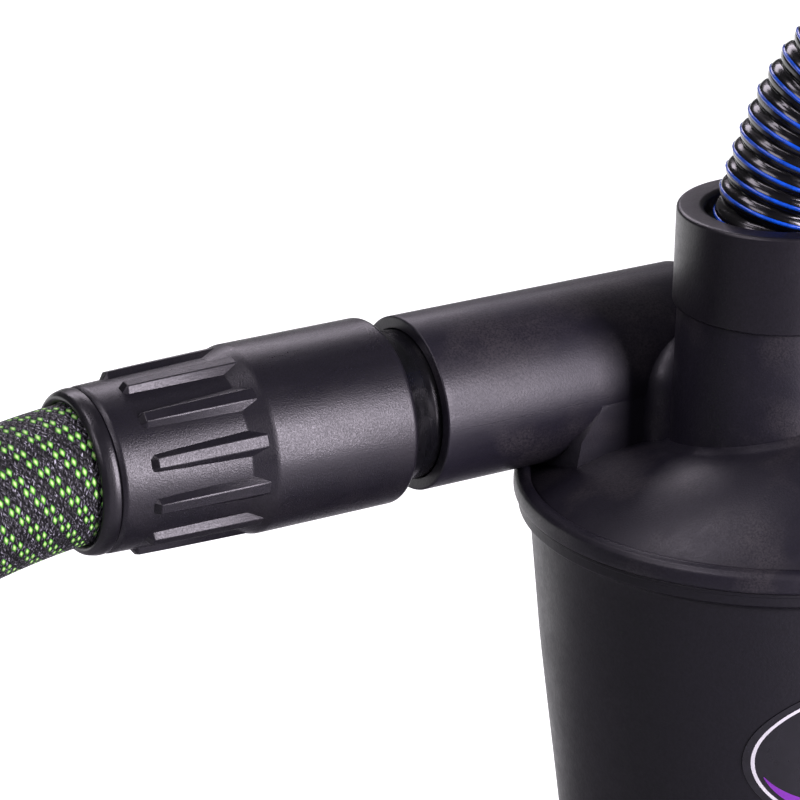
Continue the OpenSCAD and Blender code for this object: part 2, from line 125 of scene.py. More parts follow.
def rounded(profile, radius):
    """Profile of (distance, radius) points with every corner between its ends rounded off."""
    out = [profile[0]]
    for before, corner, after in zip(profile, profile[1:], profile[2:]):
        a, b, c = (Vector((p[0], p[1])) for p in (before, corner, after))
        reach = min(radius, (a - b).length * CORNER_SHARE, (c - b).length * CORNER_SHARE)
        start = b + (a - b).normalized() * reach
        end = b + (c - b).normalized() * reach
        for k in range(CORNER_STEPS + 1):
            t = k / CORNER_STEPS
            p = start * (1 - t) ** 2 + b * 2 * t * (1 - t) + end * t * t
            out.append((p.x, p.y))
    out.append(profile[-1])
    return out


def turned(name, profile, place, along=(0, 0, 1), corner=0.4, segments=128):
    """Lathe piece: closed profile of (distance, radius) in millimetres about a line through place."""
    axis = Vector(along).normalized()
    side = axis.orthogonal().normalized()
    other = axis.cross(side)
    loop = rounded(profile + profile[:2], corner)[1:-1]
    points = []
    for distance, radius in loop:
        for j in range(segments):
            a = 2 * math.pi * j / segments
            turn = side * math.cos(a) + other * math.sin(a)
            points.append(Vector(place) + axis * distance * MM + turn * radius * MM)
    faces = grid_faces(len(loop), segments)
    last = (len(loop) - 1) * segments
    for j in range(segments):
        k = (j + 1) % segments
        faces.append((last + j, last + k, k, j))
    return mesh_piece(name, points, faces)


# ------------------------------------------------------------------ routes of the hoses

SUCTION_D = 45 * MM
VACUUM_D = 41 * MM
COIL_R = 247.5  # to the hose's middle, in millimetres
SUCTION_ROUTE = [  # cuff to floor, in millimetres
    (-216, 55, 649.4), (-236, 55, 648.9), (-262, 55, 644.6), (-290, 55, 636.5), (-328, 55, 619),
    (-365, 55, 591), (-394, 55, 552), (-412, 55, 505), (-418, 55, 450), (-420, 54, 380),
    (-420, 51, 310), (-420, 43, 240), (-420, 22, 160), (-418, -18, 92), (-412, -76, 44),
    (-396, -140, 24), (-366, -196, 22.5), (-318, -242, 22.5), (-262, -270, 22.5),
    (-196, -284, 22.5), (-124, -286, 22.5), (-50, -278, 22.5), (20, -262, 22.5),
    (80, -236, 22.5), (124, -214, 22.5),
]
COIL_START_DEG, COIL_CLIMB_DEG, COIL_TOP_DEG, COIL_END_DEG = 320, 610, 645, 760
COIL_STEP_DEG = 10
COIL_TOP_Z = 74.2  # middle of the hose on its upper turn, in millimetres
ARCH_TURN = math.radians(-30)  # way that the vacuum hose arches over, from +X
ARCH = [  # (out, up from the rim joint), in millimetres
    (-2, 86), (-2, 92), (-1, 100), (4, 117), (11, 134), (21, 149), (36, 166), (54, 181), (78, 193),
    (104, 201), (131, 203), (166, 198), (199, 186), (229, 167), (255, 142), (275, 113), (288, 80),
    (295, 33), (296, -40), (296, -120), (296, -200), (296, -280), (296, -340),
]
FLOOR_RUN = [  # down to the floor and along it, in millimetres
    (257, -146, 215), (262, -137, 160), (272, -120, 112), (287, -93, 72), (302, -52, 43),
    (312, -6, 27), (315, 42, 22), (308, 92, 22), (291, 140, 25), (264, 184, 29), (246, 206, 29),
]


def coil_points():
    """Turns of the suction hose round the drum: along the floor, then up onto the turn below."""
    low = SUCTION_D / MM / 2
    points = []
    for turn in range(COIL_START_DEG, COIL_END_DEG + 1, COIL_STEP_DEG):
        share = min(1, max(0, (turn - COIL_CLIMB_DEG) / (COIL_TOP_DEG - COIL_CLIMB_DEG)))
        lift = share * share * (3 - 2 * share)
        a = math.radians(turn)
        points.append((COIL_R * math.cos(a), COIL_R * math.sin(a), low + lift * (COIL_TOP_Z - low)))
    return points


SPAN_STEPS = 24  # spline samples from one route point to the next
EVENING_PASSES = 30  # each pass takes a little more bend out


def smooth_line(points, step, lowest):
    """Points about step metres apart on a smooth curve along points given in millimetres.

    No point is lower than lowest. The second value is each point's distance along the curve.
    """
    p = np.array(points, float) * MM
    ends = np.vstack([2 * p[0] - p[1], p, 2 * p[-1] - p[-2]])
    fine = []
    for a, b, c, d in zip(ends, ends[1:], ends[2:], ends[3:]):
        for t in np.linspace(0, 1, SPAN_STEPS, endpoint=False):
            fine.append(0.5 * (2 * b + (c - a) * t + (2 * a - 5 * b + 4 * c - d) * t * t
                               + (3 * b - 3 * c + d - a) * t ** 3))
    fine.append(p[-1])
    fine = np.array(fine)
    for _ in range(EVENING_PASSES):
        fine[1:-1] = 0.25 * fine[:-2] + 0.5 * fine[1:-1] + 0.25 * fine[2:]
    fine[:, 2] = np.maximum(fine[:, 2], lowest)
    run = np.concatenate([[0], np.cumsum(np.linalg.norm(np.diff(fine, axis=0), axis=1))])
    at = np.linspace(0, run[-1], int(round(run[-1] / step)) + 1)
    return np.stack([np.interp(at, run, fine[:, k]) for k in range(3)], axis=1), at


def carried_sides(line):
    """Two directions across a line at each of its points, carried along without twist."""
    tangents = np.gradient(line, axis=0)
    tangents /= np.linalg.norm(tangents, axis=1)[:, None]
    side = np.cross(tangents[0], [0, 0, 1])
    if np.linalg.norm(side) < 0.1:
        side = np.cross(tangents[0], [0, 1, 0])
    sides = []
    for t in tangents:
        side = side - t * (side @ t)
        side = side / np.linalg.norm(side)
        sides.append(side)
    sides = np.array(sides)
    return sides, np.cross(tangents, sides)


def tube(name, line, at, radius_of, segments):
    """Tube round a line, with distance and turn in its UV map; radius_of(distance, turn) is its radius."""
    sides, others = carried_sides(line)
    turn = np.arange(segments) / segments
    ring = 2 * np.pi * turn
    radius = radius_of(at[:, None], turn[None, :]) * np.ones((len(at), segments))
    outward = np.cos(ring)[None, :, None] * sides[:, None] + np.sin(ring)[None, :, None] * others[:, None]
    points = line[:, None] + radius[..., None] * outward
    faces = grid_faces(len(line), segments)
    data = bpy.data.meshes.new(name)
    data.from_pydata(points.reshape(-1, 3).tolist(), [], faces)
    uv = data.uv_layers.new(name="along")
    rows, cols = np.divmod(np.arange((len(line) - 1) * segments), segments)
    corners_u = np.stack([at[rows], at[rows], at[rows + 1], at[rows + 1]], axis=1)
    corners_v = np.stack([cols, cols + 1, cols + 1, cols], axis=1) / segments
    uv.data.foreach_set("uv", np.stack([corners_u, corners_v], axis=2).ravel())
    data.polygons.foreach_set("use_smooth", [True] * len(data.polygons))
    return link(bpy.data.objects.new(name, data))


RIB_PITCH = 6.1 * MM
RIB_DEPTH = 2.9 * MM
SUCTION_STEP = 2.5 * MM
VACUUM_STEP = RIB_PITCH / 10
TRACER_SUNK = 0.35 * MM  # middle of the stripe below the crest
TRACER_R = 0.75 * MM
TRACER_END_GAP = 4 * MM


def rib_radius(distance, turn):
    """Rounded helical ribs of the vacuum hose, tight valleys between them."""
    phase = (distance / RIB_PITCH + turn) % 1
    bulge = np.sqrt(np.maximum(0, 1 - (2 * phase - 1) ** 2))
    return VACUUM_D / 2 - RIB_DEPTH * (1 - bulge)


def braid_radius(_distance, _turn):
    """Plain tube: the braid's relief is in its material."""
    return SUCTION_D / 2


suction_line, suction_at = smooth_line(SUCTION_ROUTE + coil_points(), SUCTION_STEP, SUCTION_D / 2)
vacuum_points = [(s * math.cos(ARCH_TURN), s * math.sin(ARCH_TURN), RIM_Z / MM + z) for s, z in ARCH]
vacuum_line, vacuum_at = smooth_line(vacuum_points + FLOOR_RUN, VACUUM_STEP, VACUUM_D / 2)

suction = tube("suction_hose_braided", suction_line, suction_at, braid_radius, 72)
vacuum = tube("vacuum_hose_ribbed", vacuum_line, vacuum_at, rib_radius, 64)


def tracer_helix():
    """Thin raised stripe that runs along the crest of the vacuum hose's ribs."""
    per_turn, corners = 32, 6
    turns = int((vacuum_at[-1] - TRACER_END_GAP) / RIB_PITCH)
    sides, others = carried_sides(vacuum_line)
    count = turns * per_turn + 1
    angle = np.arange(count) / per_turn
    place = RIB_PITCH * (angle + 0.5)
    ring_angle = 2 * np.pi * -angle

    def at_place(values):
        """Values of the hose's line at the stripe's places."""
        return np.stack([np.interp(place, vacuum_at, values[:, k]) for k in range(3)], axis=1)

    out = np.cos(ring_angle)[:, None] * at_place(sides) + np.sin(ring_angle)[:, None] * at_place(others)
    middle = at_place(vacuum_line) + out * (VACUUM_D / 2 - TRACER_SUNK)
    along = np.gradient(middle, axis=0)
    along /= np.linalg.norm(along, axis=1)[:, None]
    across = np.cross(along, out)
    ring = 2 * np.pi * np.arange(corners) / corners
    section = np.cos(ring)[None, :, None] * out[:, None] + np.sin(ring)[None, :, None] * across[:, None]
    points = middle[:, None] + TRACER_R * section
    faces = grid_faces(count, corners)
    faces += [tuple(range(corners)), tuple((count - 1) * corners + k for k in range(corners))]
    return mesh_piece("vacuum_hose_tracer", points.reshape(-1, 3), faces, sharp_deg=80)


tracer = tracer_helix()
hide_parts("suction_hose", "suction_coil")
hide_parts("vacuum_hose")
for piece in (suction, vacuum, tracer):
    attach(piece, BASE)

# ------------------------------------------------------------------ materials

COAT_ROUGHNESS = 0.12
NOISE_LOW, NOISE_HIGH = 0.32, 0.68  # nearly all of a noise texture's values lie between


class Nodes:
    """Short way to write a node material."""

    def __init__(self, name, color, roughness, metallic=0.0, coat=0.0):
        self.material = bpy.data.materials.new(name)
        self.material.use_nodes = True
        self.tree = self.material.node_tree
        self.shader = self.tree.nodes["Principled BSDF"]
        self.shader.inputs["Base Color"].default_value = (*color, 1)
        self.shader.inputs["Roughness"].default_value = roughness
        self.shader.inputs["Metallic"].default_value = metallic
        self.shader.inputs["Coat Weight"].default_value = coat
        self.shader.inputs["Coat Roughness"].default_value = COAT_ROUGHNESS

    def put(self, kind, **settings):
        """New node of that kind."""
        node = self.tree.nodes.new(kind)
        for key, value in settings.items():
            setattr(node, key, value)
        return node

    def join(self, source, target):
        """Link an output to an input."""
        self.tree.links.new(source, target)

    def feed(self, socket, value):
        """Set an input to a number, or link it to an output."""
        if isinstance(value, (int, float)):
            socket.default_value = value
        else:
            self.join(value, socket)

    def math(self, operation, a, b=0.0, clamp=False):
        """Result of one operation on one or two values."""
        node = self.put("ShaderNodeMath", operation=operation, use_clamp=clamp)
        for socket, value in zip(node.inputs, (a, b)):
            self.feed(socket, value)
        return node.outputs[0]

    def place(self, stretch=(1, 1, 1)):
        """Place on the piece, in metres, scaled along each axis for long marks."""
        spot = self.put("ShaderNodeTexCoord").outputs["Object"]
        scaled = self.put("ShaderNodeMapping")
        scaled.inputs["Scale"].default_value = stretch
        self.join(spot, scaled.inputs["Vector"])
        return scaled.outputs[0]

    def noise(self, scale, detail=2.0, stretch=(1, 1, 1), low=0.0, high=1.0):
        """Noise of that many lumps a metre, spread from low to high."""
        cloud = self.put("ShaderNodeTexNoise")
        cloud.inputs["Scale"].default_value = scale
        cloud.inputs["Detail"].default_value = detail
        self.join(self.place(stretch), cloud.inputs["Vector"])
        spread = self.put("ShaderNodeMapRange")
        spread.inputs["From Min"].default_value = NOISE_LOW
        spread.inputs["From Max"].default_value = NOISE_HIGH
        spread.inputs["To Min"].default_value = low
        spread.inputs["To Max"].default_value = high
        self.join(cloud.outputs[0], spread.inputs[0])
        return spread.outputs[0]

    def blend(self, share, dark, light):
        """Colour between dark, at share 0, and light, at share 1."""
        mix = self.put("ShaderNodeMix", data_type="RGBA")
        self.feed(mix.inputs["Factor"], share)
        for socket, value in ((mix.inputs["A"], dark), (mix.inputs["B"], light)):
            if isinstance(value, tuple):
                socket.default_value = (*value, 1)
            else:
                self.join(value, socket)
        return mix.outputs["Result"]

    def bump(self, *layers):
        """Bump from (height, depth in metres) layers."""
        normal = None
        for height, depth in layers:
            node = self.put("ShaderNodeBump")
            node.inputs["Distance"].default_value = depth
            self.join(height, node.inputs["Height"])
            if normal is not None:
                self.join(normal, node.inputs["Normal"])
            normal = node.outputs[0]
        self.join(normal, self.shader.inputs["Normal"])


# Moulded plastic. Scales are in lumps a metre.
CLOUD_SCALE, CLOUD_GLOSS = 60, 0.05  # slow change of roughness over the piece
DUST_SCALE, DUST_SPREAD = 42, 1.5  # patches of pale dust
DUST_COLOR = (0.075, 0.068, 0.066)
EDGE_SCALE, EDGE_FROM, EDGE_GAIN = 160, 0.53, 6.0  # paler convex edges, by pointiness: rubbing, and a painted edge highlight
WEAR_AND_HIGHLIGHT_GAIN, WEAR_AND_HIGHLIGHT_LIFT = 1.5, 0.012  # how much paler an edge is, from rubbing and painted edge highlight
SCUFF_SCALE, SCUFF_STRETCH = 260, (0.12, 1, 1)
SPECK_LIFT, SPECK_DARK, SPECK_GLOSS = 0.004, 0.5, 0.22
LUMP_SCALE, LUMP_DEPTH = 45, 0.006 * MM  # soft unevenness of a moulded wall


def moulded(name, color, roughness, grain=1500, depth=0.05, speckle=0.5, scuffs=0.025, marks=0.0):
    """Moulded plastic: fine grain with pale specks, cloudy gloss, faint scuffs, dust, and convex edges
    painted paler from rubbing and as an edge highlight.

    grain is in lumps a metre and depth in millimetres; marks is how much of the dust shows.
    """
    m = Nodes(name, color, roughness)
    specks = m.noise(grain, detail=3)
    clouds = m.noise(CLOUD_SCALE, detail=4)
    light = tuple(c * (1 + speckle) + SPECK_LIFT * speckle for c in color)
    dark = tuple(c * (1 - SPECK_DARK * speckle) for c in color)
    # paler convex edges: rubbing, and a painted edge highlight
    worn_and_highlit = tuple(c * WEAR_AND_HIGHLIGHT_GAIN + WEAR_AND_HIGHLIGHT_LIFT for c in color)
    pointiness = m.put("ShaderNodeNewGeometry").outputs["Pointiness"]
    edge = m.math("MULTIPLY", m.math("SUBTRACT", pointiness, EDGE_FROM), EDGE_GAIN, clamp=True)
    rubbed_and_highlit = m.math("MULTIPLY", edge, m.noise(EDGE_SCALE, detail=3))
    patches = m.noise(DUST_SCALE, detail=6, low=-DUST_SPREAD, high=DUST_SPREAD)
    dusty = m.math("MULTIPLY", m.math("MULTIPLY", patches, specks, clamp=True), marks)
    plain = m.blend(dusty, m.blend(specks, dark, light), DUST_COLOR)
    m.join(m.blend(rubbed_and_highlit, plain, worn_and_highlit), m.shader.inputs["Base Color"])
    streaks = m.noise(SCUFF_SCALE, detail=2, stretch=SCUFF_STRETCH, low=-scuffs, high=scuffs)
    cloudy = m.math("ADD", m.math("MULTIPLY", clouds, CLOUD_GLOSS), roughness - CLOUD_GLOSS / 2)
    sparkle = m.math("MULTIPLY", m.math("SUBTRACT", 0.5, specks), SPECK_GLOSS * speckle)
    m.join(m.math("ADD", m.math("ADD", cloudy, streaks), sparkle, clamp=True), m.shader.inputs["Roughness"])
    m.bump((specks, depth * MM), (m.noise(LUMP_SCALE, detail=2), LUMP_DEPTH))
    return m.material


BLOTCH_SCALE, BLOTCH_DARK = 120, 0.72
ROLLED_SCALE, ROLLED_STRETCH = 700, (1, 1, 0.2)
ROLLED_SHINY, ROLLED_DULL = 0.1, 0.15  # spread of roughness below and above the usual
ZINC_SCALE, ZINC_DEPTH = 1800, 0.03 * MM


def plated(name, color, roughness):
    """Zinc-plated steel: rolled grain and blotchy passivation."""
    m = Nodes(name, color, roughness, metallic=1.0)
    blotch = m.noise(BLOTCH_SCALE, detail=5)
    m.join(m.blend(blotch, tuple(c * BLOTCH_DARK for c in color), color), m.shader.inputs["Base Color"])
    low, high = roughness - ROLLED_SHINY, roughness + ROLLED_DULL
    rolled = m.noise(ROLLED_SCALE, detail=3, stretch=ROLLED_STRETCH, low=low, high=high)
    m.join(rolled, m.shader.inputs["Roughness"])
    m.bump((m.noise(ZINC_SCALE, detail=2), ZINC_DEPTH))
    return m.material


RUBBER_COLOR = (0.012, 0.012, 0.013)
RUBBER_ROUGHNESS = 0.55, 0.85  # from its shiniest to its dullest spots
RUBBER_SHEEN_SCALE = 400
RUBBER_SCALE, RUBBER_DEPTH = 900, 0.08 * MM


def rubbery(name):
    """Dull black rubber with a fine skin."""
    low, high = RUBBER_ROUGHNESS
    m = Nodes(name, RUBBER_COLOR, (low + high) / 2)
    m.join(m.noise(RUBBER_SHEEN_SCALE, detail=4, low=low, high=high), m.shader.inputs["Roughness"])
    m.bump((m.noise(RUBBER_SCALE, detail=3), RUBBER_DEPTH))
    return m.material


POLISH_COAT, POLISH_DARK = 0.4, 0.6
SMEAR_SCALE, SMEAR_STRETCH, GLOSSIEST = 90, (3, 1, 1), 0.03
TINT_SCALE = 300
RIPPLE_SCALE, RIPPLE_DEPTH = 120, 0.05 * MM


def polished(name, color, roughness, smear=0.10):
    """Smooth glossy plastic with faint smears round it."""
    m = Nodes(name, color, roughness, coat=POLISH_COAT)
    low, high = max(GLOSSIEST, roughness - smear), roughness + smear
    m.join(m.noise(SMEAR_SCALE, detail=5, stretch=SMEAR_STRETCH, low=low, high=high),
           m.shader.inputs["Roughness"])
    darker = tuple(c * POLISH_DARK for c in color)
    m.join(m.blend(m.noise(TINT_SCALE), darker, color), m.shader.inputs["Base Color"])
    m.bump((m.noise(RIPPLE_SCALE, detail=2), RIPPLE_DEPTH))
    return m.material


STRANDS = 36  # braid strands round the hose, each way
GREEN_EVERY = 4  # strands from one green pair to the next
GREEN_LAST = 1.5  # strands 0 and 1 of each group are green
LAY = 76 * MM  # length along the hose of one strand's turn
CROWN_ACROSS, CROWN_ALONG = 0.7, 0.6  # how square a strand's crown is, each way
BRAID_DEPTH, FILAMENT_DEPTH = 0.60 * MM, 0.22 * MM
GREEN_FROM = 0.20  # height over which a green strand shows its colour
FILAMENTS_ACROSS, FILAMENTS_ALONG = 2.4, 0.9  # how fine the filaments are within a strand
FILAMENT_SCALE, CELL_SHIFT = 1.5, 40.0
SHINE_FROM, SHINE_GAIN = 0.53, 9.0  # share of the filaments that glint: painted glints in the colour, and glossier
THREAD_ROUGHNESS, SHINE_GLOSS = 0.55, 0.25
# how bright the painted glints of a cell are: the least, and how much more by chance
GLINT_LEAST, GLINT_VARIES = 0.2, 0.8
GAP_SHADE_FADE, CROWN_HIGHLIGHT_FADE = 0.6, 3.0  # how fast colour comes up out of the painted gap shade, and how fast the green pales to its painted highlight at the crown
# black of the threads, also painted as shade in the gaps between strands; pale grey of the painted glints
BLACK_AND_GAP_SHADE, GLINT_GREY = (0.002, 0.002, 0.003), (0.58, 0.57, 0.66)
# green of the green strands at their sides, and the pale painted highlight it turns to at the crown
GREEN_SIDE, GREEN_HIGHLIGHT = (0.09, 0.62, 0.006), (0.80, 1.0, 0.42)


def braided(name):
    """Plain polyester braid of black multifilament, with pairs of bright green strands one way; painted
    glints on the black filaments, painted highlights on the green crowns, painted shade in the gaps between
    strands.
    """
    m = Nodes(name, BLACK_AND_GAP_SHADE, THREAD_ROUGHNESS)
    uv = m.put("ShaderNodeUVMap", uv_map="along")
    split = m.put("ShaderNodeSeparateXYZ")
    m.join(uv.outputs[0], split.inputs[0])
    run = m.math("MULTIPLY", split.outputs[0], STRANDS / LAY)
    round_it = m.math("MULTIPLY", split.outputs[1], STRANDS)
    a = m.math("ADD", run, round_it)
    b = m.math("SUBTRACT", run, round_it)
    i, j = m.math("FLOOR", a), m.math("FLOOR", b)
    part_a, part_b = m.math("FRACT", a), m.math("FRACT", b)
    under = m.math("FLOORED_MODULO", m.math("ADD", i, j), 2.0)

    def choose(first, second):
        """First where the strand running one way is on top, second where the other is."""
        return m.math("ADD", m.math("MULTIPLY", m.math("SUBTRACT", 1.0, under), first),
                      m.math("MULTIPLY", under, second))

    def arch(share, power):
        """Rounded rise from one edge of a strand to the other."""
        rise = m.math("SINE", m.math("MULTIPLY", share, math.pi))
        return m.math("POWER", m.math("MAXIMUM", rise, 0.001), power)

    across = choose(part_a, part_b)
    lengthwise = choose(part_b, part_a)
    height = m.math("MULTIPLY", arch(across, CROWN_ACROSS), arch(lengthwise, CROWN_ALONG))
    green_strand = m.math("LESS_THAN", m.math("FLOORED_MODULO", j, float(GREEN_EVERY)), GREEN_LAST)
    crowned = m.math("GREATER_THAN", height, GREEN_FROM)
    green = m.math("MULTIPLY", m.math("MULTIPLY", green_strand, under), crowned)
    cell = m.put("ShaderNodeCombineXYZ")
    m.join(i, cell.inputs[0])
    m.join(j, cell.inputs[1])
    chance = m.put("ShaderNodeTexWhiteNoise", noise_dimensions="3D")
    m.join(cell.outputs[0], chance.inputs["Vector"])
    threads = m.put("ShaderNodeCombineXYZ")
    m.join(m.math("MULTIPLY", across, FILAMENTS_ACROSS), threads.inputs[0])
    shift = m.math("MULTIPLY", chance.outputs[0], CELL_SHIFT)
    m.join(m.math("ADD", m.math("MULTIPLY", lengthwise, FILAMENTS_ALONG), shift), threads.inputs[1])
    filaments = m.put("ShaderNodeTexNoise")
    filaments.inputs["Scale"].default_value = FILAMENT_SCALE
    filaments.inputs["Detail"].default_value = 2
    m.join(threads.outputs[0], filaments.inputs["Vector"])
    shine = m.math("MULTIPLY", m.math("SUBTRACT", filaments.outputs[0], SHINE_FROM), SHINE_GAIN, clamp=True)
    luck = m.math("ADD", m.math("MULTIPLY", chance.outputs[0], GLINT_VARIES), GLINT_LEAST)
    glint = m.math("MULTIPLY", shine, luck)
    # black threads with painted glints: pale grey where the filaments shine
    black = m.blend(glint, BLACK_AND_GAP_SHADE, GLINT_GREY)
    # painted highlight: each green strand pales towards its crown
    bright = m.blend(m.math("POWER", height, CROWN_HIGHLIGHT_FADE), GREEN_SIDE, GREEN_HIGHLIGHT)
    shown = m.blend(green, black, bright)
    # painted shade: colour fades to black towards the gaps between strands
    m.join(m.blend(m.math("POWER", height, GAP_SHADE_FADE), BLACK_AND_GAP_SHADE, shown), m.shader.inputs["Base Color"])
    gloss = m.math("MULTIPLY", shine, SHINE_GLOSS)
    m.join(m.math("SUBTRACT", THREAD_ROUGHNESS, gloss), m.shader.inputs["Roughness"])
    m.bump((height, BRAID_DEPTH), (filaments.outputs[0], FILAMENT_DEPTH))
    return m.material


# The cone body's black is the housing's black at about half its brightness: painted shade on the cone body.
HOUSING_BLACK, BODY_BLACK_SHADED = (0.0080, 0.0070, 0.0125), (0.0042, 0.0038, 0.0070)
CUFF_BLACK, RING_BLACK = (0.0062, 0.0055, 0.0088), (0.0080, 0.0074, 0.0100)
COLLAR_BLACK, DRUM_BLACK = (0.0075, 0.0066, 0.0100), (0.0160, 0.0155, 0.0185)
GRIP_BLACK = (0.012, 0.012, 0.013)
LOOKS = {
    "housing": moulded("housing_plastic", HOUSING_BLACK, 0.43, grain=1500, depth=0.022, speckle=0.35,
                       marks=0.30),
    # darker copy of the housing plastic: painted shade on the cone body
    "body": moulded("body_plastic_shaded", BODY_BLACK_SHADED, 0.46, grain=900, depth=0.02, speckle=0.25),
    "cuff": moulded("cuff_plastic", CUFF_BLACK, 0.36, grain=2000, depth=0.028, speckle=0.85, marks=0.12),
    "ring": moulded("ring_plastic", RING_BLACK, 0.32, grain=1700, depth=0.02, speckle=0.25),
    "collar": moulded("collar_plastic", COLLAR_BLACK, 0.36, grain=1200, depth=0.02, speckle=0.3),
    "drum": moulded("drum_plastic", DRUM_BLACK, 0.45, grain=700, depth=0.06, speckle=0.3),
    "grip": moulded("grip_plastic", GRIP_BLACK, 0.5, grain=1400, depth=0.09, speckle=0.4),
    "neck": polished("neck_plastic", (0.0040, 0.0040, 0.0055), 0.24),
    "ribbed": polished("ribbed_plastic", (0.0035, 0.0032, 0.0045), 0.25, smear=0.08),
    "tracer": polished("tracer_blue", (0.003, 0.095, 0.70), 0.30, smear=0.08),
    "braid": braided("braid_polyester"),
    "zinc": plated("zinc_plate", (0.60, 0.61, 0.63), 0.34),
    "seal": rubbery("seal_rubber"),
    "film": polished("label_film", (0.010, 0.010, 0.014), 0.22),
    "white": moulded("print_white", (0.72, 0.72, 0.74), 0.35, grain=900, depth=0.01, speckle=0.04,
                     scuffs=0.02),
    "violet": moulded("print_violet", (0.23, 0.035, 0.42), 0.35, grain=900, depth=0.01, speckle=0.06,
                      scuffs=0.02),
}
NODE_LOOKS = {
    "drum_body": "drum", "drum_lid": "drum", "lid_gasket": "seal", "clamp_ring": "zinc",
    "clamp_bolt": "zinc", "wing_nut": "zinc", "handle_brackets": "zinc", "handle_wire_left": "zinc",
    "handle_grip_left": "grip", "handle_wire_right": "zinc", "handle_grip_right": "grip",
    "flange_gasket": "seal", "flange_bolts": "zinc", "flange_washers": "zinc", "flange_nuts": "zinc",
    "cone_body": "body", "body_seal": "seal", "top_housing": "housing", "helical_roof": "housing",
    "vortex_finder": "housing", "outlet_collar": "collar", "hose_seal": "seal", "inlet_seal": "seal",
    "label_plate": "film", "cuff_spigot": "neck", "cuff_sleeve": "cuff", "cuff_grip": "cuff",
    "cuff_end_ring": "ring", "hose_bush": "ring", "suction_hose": "braid", "suction_coil": "braid",
    "tool_cuff": "cuff", "tool_cuff_ring": "ring", "tool_cuff_bush": "ring", "vacuum_hose": "ribbed",
    "vacuum_cuff": "cuff", "vacuum_cuff_ring": "ring", "vacuum_cuff_bush": "ring",
}


def dress(obj, look):
    """Give an object one of the looks, in place of any material it had."""
    obj.data.materials.clear()
    obj.data.materials.append(LOOKS[look])


for node_name, look in NODE_LOOKS.items():
    dress(NODES[node_name], look)
dress(suction, "braid")
dress(vacuum, "ribbed")
dress(tracer, "tracer")

# ------------------------------------------------------------------ hose cuff

INLET_AXIS = (MOUTH_X, INLET_Y, INLET_Z)  # starts at the inlet mouth, in metres
GRIP_START, GRIP_END = 71.0, 115.3  # millimetres past the inlet mouth
GRIP_R_START, GRIP_R_END = 28.2, 26.9
SLEEVE_R = 31.0
RIB_COUNT = 12
RIB_TURN = math.radians(10.5)  # first rib, turned from straight up
RIB_R = 28.0  # radius on which the ribs' widths are measured
RIB_FOOT = 0.7  # how deep the ribs reach into the grip
RIB_SOFTEN, RIB_SOFTEN_DEG = 0.28 * MM, 18
RIB_STATIONS = [  # (distance, half foot, half top, top radius)
    (65.4, 5.2, 1.8, 30.30), (70.0, 5.1, 1.8, 30.2), (80.0, 4.6, 1.75, 30.0), (92.0, 4.0, 1.7, 29.75),
    (103.4, 3.3, 1.6, 29.4), (105.2, 2.9, 1.3, 26.9),
]
CORNERS = 4  # of a rib's section


def arc(start, end, leaves_along, steps=8):
    """Points of a quarter-ellipse from start to end that leaves start along axis 0 or axis 1."""
    points = []
    for k in range(steps + 1):
        t = math.pi / 2 * k / steps
        s, c = math.sin(t), 1 - math.cos(t)
        u, v = (s, c) if leaves_along == 0 else (c, s)
        points.append((start[0] + (end[0] - start[0]) * u, start[1] + (end[1] - start[1]) * v))
    return points


def grip_surface(distance):
    """Radius of the grip between its ribs, in millimetres."""
    share = (distance - GRIP_START) / (GRIP_END - GRIP_START)
    return GRIP_R_START + share * (GRIP_R_END - GRIP_R_START)


def make_cuff_shell():
    """Sleeve and grip: long rounding at the pipe end, cone step down to the ribbed part."""
    profile = [(11.9, 27.6)] + arc((11.9, 29.3), (13.8, SLEEVE_R), 1)
    profile += [(62.4, SLEEVE_R), (63.6, 30.75), (GRIP_START, GRIP_R_START), (GRIP_END - 1.6, GRIP_R_END),
                (GRIP_END, GRIP_R_END - 0.9), (GRIP_END, 24.95), (72, 24.95), (72, 25.8), (36, 25.8),
                (30, 27.1), (12.4, 27.1)]
    return turned("cuff_shell", profile, INLET_AXIS, (-1, 0, 0), corner=0.5, segments=160)


def rib_section(distance, half_foot, half_top, top):
    """Four (across, radius) corners of a rib: foot, shoulder, shoulder, foot."""
    foot = grip_surface(distance) - RIB_FOOT
    return [(-half_foot, foot), (-half_top, top), (half_top, top), (half_foot, foot)]


def make_cuff_ribs():
    """Tapered ribs: flat on top, long sloping flanks, a short ramp at the hose end."""
    points, faces = [], []
    for i in range(RIB_COUNT):
        middle = RIB_TURN + 2 * math.pi * i / RIB_COUNT
        first = len(points)
        for station in RIB_STATIONS:
            for across, radius in rib_section(*station):
                a = middle + across / RIB_R
                points.append((MOUTH_X - station[0] * MM, INLET_Y - radius * MM * math.sin(a),
                               INLET_Z + radius * MM * math.cos(a)))
        last = first + (len(RIB_STATIONS) - 1) * CORNERS
        for row in range(first, last, CORNERS):
            for k in range(CORNERS):
                a, b = row + k, row + (k + 1) % CORNERS
                faces.append((a, b, b + CORNERS, a + CORNERS))
        faces.append(tuple(range(first, first + CORNERS)))
        faces.append(tuple(reversed(range(last, last + CORNERS))))
    ribs = mesh_piece("cuff_ribs", points, faces, sharp_deg=20)
    soften = ribs.modifiers.new("soften", "BEVEL")
    soften.width = RIB_SOFTEN
    soften.segments = 2
    soften.limit_method = "ANGLE"
    soften.angle_limit = math.radians(RIB_SOFTEN_DEG)
    return ribs


